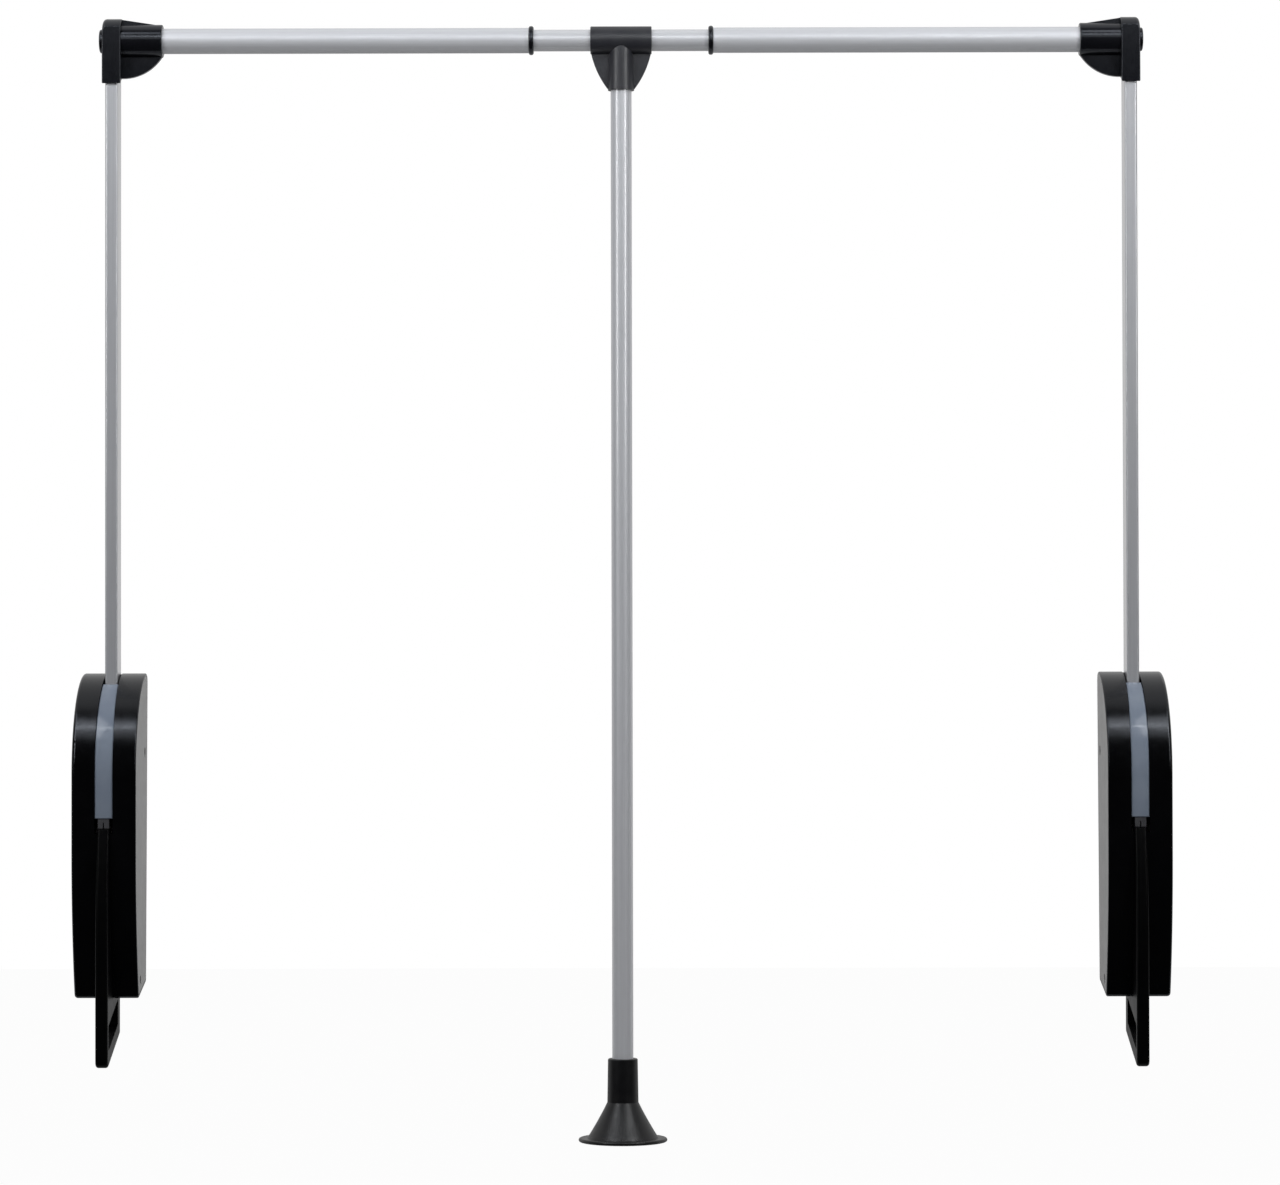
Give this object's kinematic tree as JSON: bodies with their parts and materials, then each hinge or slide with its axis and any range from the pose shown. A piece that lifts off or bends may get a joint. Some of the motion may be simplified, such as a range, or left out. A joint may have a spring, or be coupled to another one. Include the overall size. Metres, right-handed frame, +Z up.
{
  "type": "pull-down closet rod",
  "caption": "Wardrobe lift: sprung arms in wall housings carry a telescopic hanging rod that swings down and forward when its pull rod is drawn.",
  "frame": {"origin": "on the left housing's wall face, on the line about which both arms swing", "axes": "+X along the rod to the right housing, -Y to the front, into the room, +Z up along the raised arms"},
  "size_m": [0.952, 0.1214, 0.9889],
  "materials": {
    "black_plastic": "black moulded plastic, fine satin",
    "grey_plastic": "light grey moulded plastic, fine grain",
    "satin_silver": "satin silver tube",
    "shutter_plastic": "pale bluish translucent flexible plastic",
    "bumper_rubber": "dark grey rubber",
    "steel": "plain steel",
    "nylon": "natural nylon"
  },
  "bodies": {
    "left_housing": {"left_housing_shell": "black_plastic", "left_housing_cover": "grey_plastic", "left_cover_screws": "steel", "left_pivot_axle": "steel", "left_spring_seat": "nylon", "left_lift_spring": "steel", "left_damper_cylinder": "steel", "left_slot_shutter": "shutter_plastic", "left_stop_bumper": "bumper_rubber", "left_lower_guard": "black_plastic", "left_guard_screws": "steel"},
    "left_arm": {"left_axle_bushes": "nylon", "left_arm_hub": "nylon", "left_arm_rivets": "steel", "left_arm_tube": "satin_silver", "left_corner_bracket": "black_plastic", "left_corner_bolt": "steel", "left_bolt_cap": "black_plastic", "left_bracket_screw": "steel", "left_tube_plug": "nylon", "left_outer_tube": "satin_silver", "left_rod_collar": "black_plastic"},
    "left_rack": {"left_rack_carriage": "nylon", "left_damper_rod": "steel"},
    "right_housing": {"right_housing_shell": "black_plastic", "right_housing_cover": "grey_plastic", "right_cover_screws": "steel", "right_pivot_axle": "steel", "right_spring_seat": "nylon", "right_lift_spring": "steel", "right_damper_cylinder": "steel", "right_slot_shutter": "shutter_plastic", "right_stop_bumper": "bumper_rubber", "right_lower_guard": "black_plastic", "right_guard_screws": "steel"},
    "right_arm": {"right_axle_bushes": "nylon", "right_arm_hub": "nylon", "right_arm_rivets": "steel", "right_arm_tube": "satin_silver", "right_corner_bracket": "black_plastic", "right_corner_bolt": "steel", "right_bolt_cap": "black_plastic", "right_bracket_screw": "steel", "right_tube_plug": "nylon", "right_outer_tube": "satin_silver", "right_rod_collar": "black_plastic"},
    "right_rack": {"right_rack_carriage": "nylon", "right_damper_rod": "steel"},
    "inner_rod": {"inner_rod": "satin_silver"},
    "pull_handle": {"tee_connector": "black_plastic", "pull_rod": "satin_silver", "handle_screws": "steel", "bell_handle": "black_plastic"}
  },
  "joints": [
    {"name": "width_adjust", "type": "slide", "parent": "left_housing", "child": "right_housing", "axis": [1, 0, 0], "range_m": [-0.062, 0.267]},
    {"name": "left_swing", "type": "hinge", "parent": "left_housing", "child": "left_arm", "pos_m": [0, 0, 0], "axis": [1, 0, 0], "range_deg": [0, 120], "stiffness_Nm_per_rad": 6, "springref_deg": -34.38, "deforming": ["left_slot_shutter"]},
    {"name": "left_rack_slide", "type": "slide", "parent": "left_housing", "child": "left_rack", "axis": [0, 0, -1], "range_m": [0, 0.042], "deforming": ["left_lift_spring"]},
    {"name": "right_swing", "type": "hinge", "parent": "right_housing", "child": "right_arm", "pos_m": [0.952, 0, 0], "axis": [1, 0, 0], "range_deg": [0, 120], "stiffness_Nm_per_rad": 6, "springref_deg": -34.38, "deforming": ["right_slot_shutter"]},
    {"name": "right_rack_slide", "type": "slide", "parent": "right_housing", "child": "right_rack", "axis": [0, 0, -1], "range_m": [0, 0.042], "deforming": ["right_lift_spring"]},
    {"name": "rod_slide", "type": "slide", "parent": "left_arm", "child": "inner_rod", "axis": [1, 0, 0], "range_m": [-0.031, 0.1335]},
    {"name": "handle_swing", "type": "hinge", "parent": "inner_rod", "child": "pull_handle", "pos_m": [0.476, 0, 0.627], "axis": [1, 0, 0], "continuous": true}
  ],
  "couplings": [
    {"joint": "right_swing", "follows": "left_swing", "ratio": 1},
    {"joint": "left_rack_slide", "follows": "left_swing", "m_per_rad": 0.02},
    {"joint": "right_rack_slide", "follows": "left_swing", "m_per_rad": 0.02},
    {"joint": "rod_slide", "follows": "width_adjust", "ratio": 0.5}
  ]
}
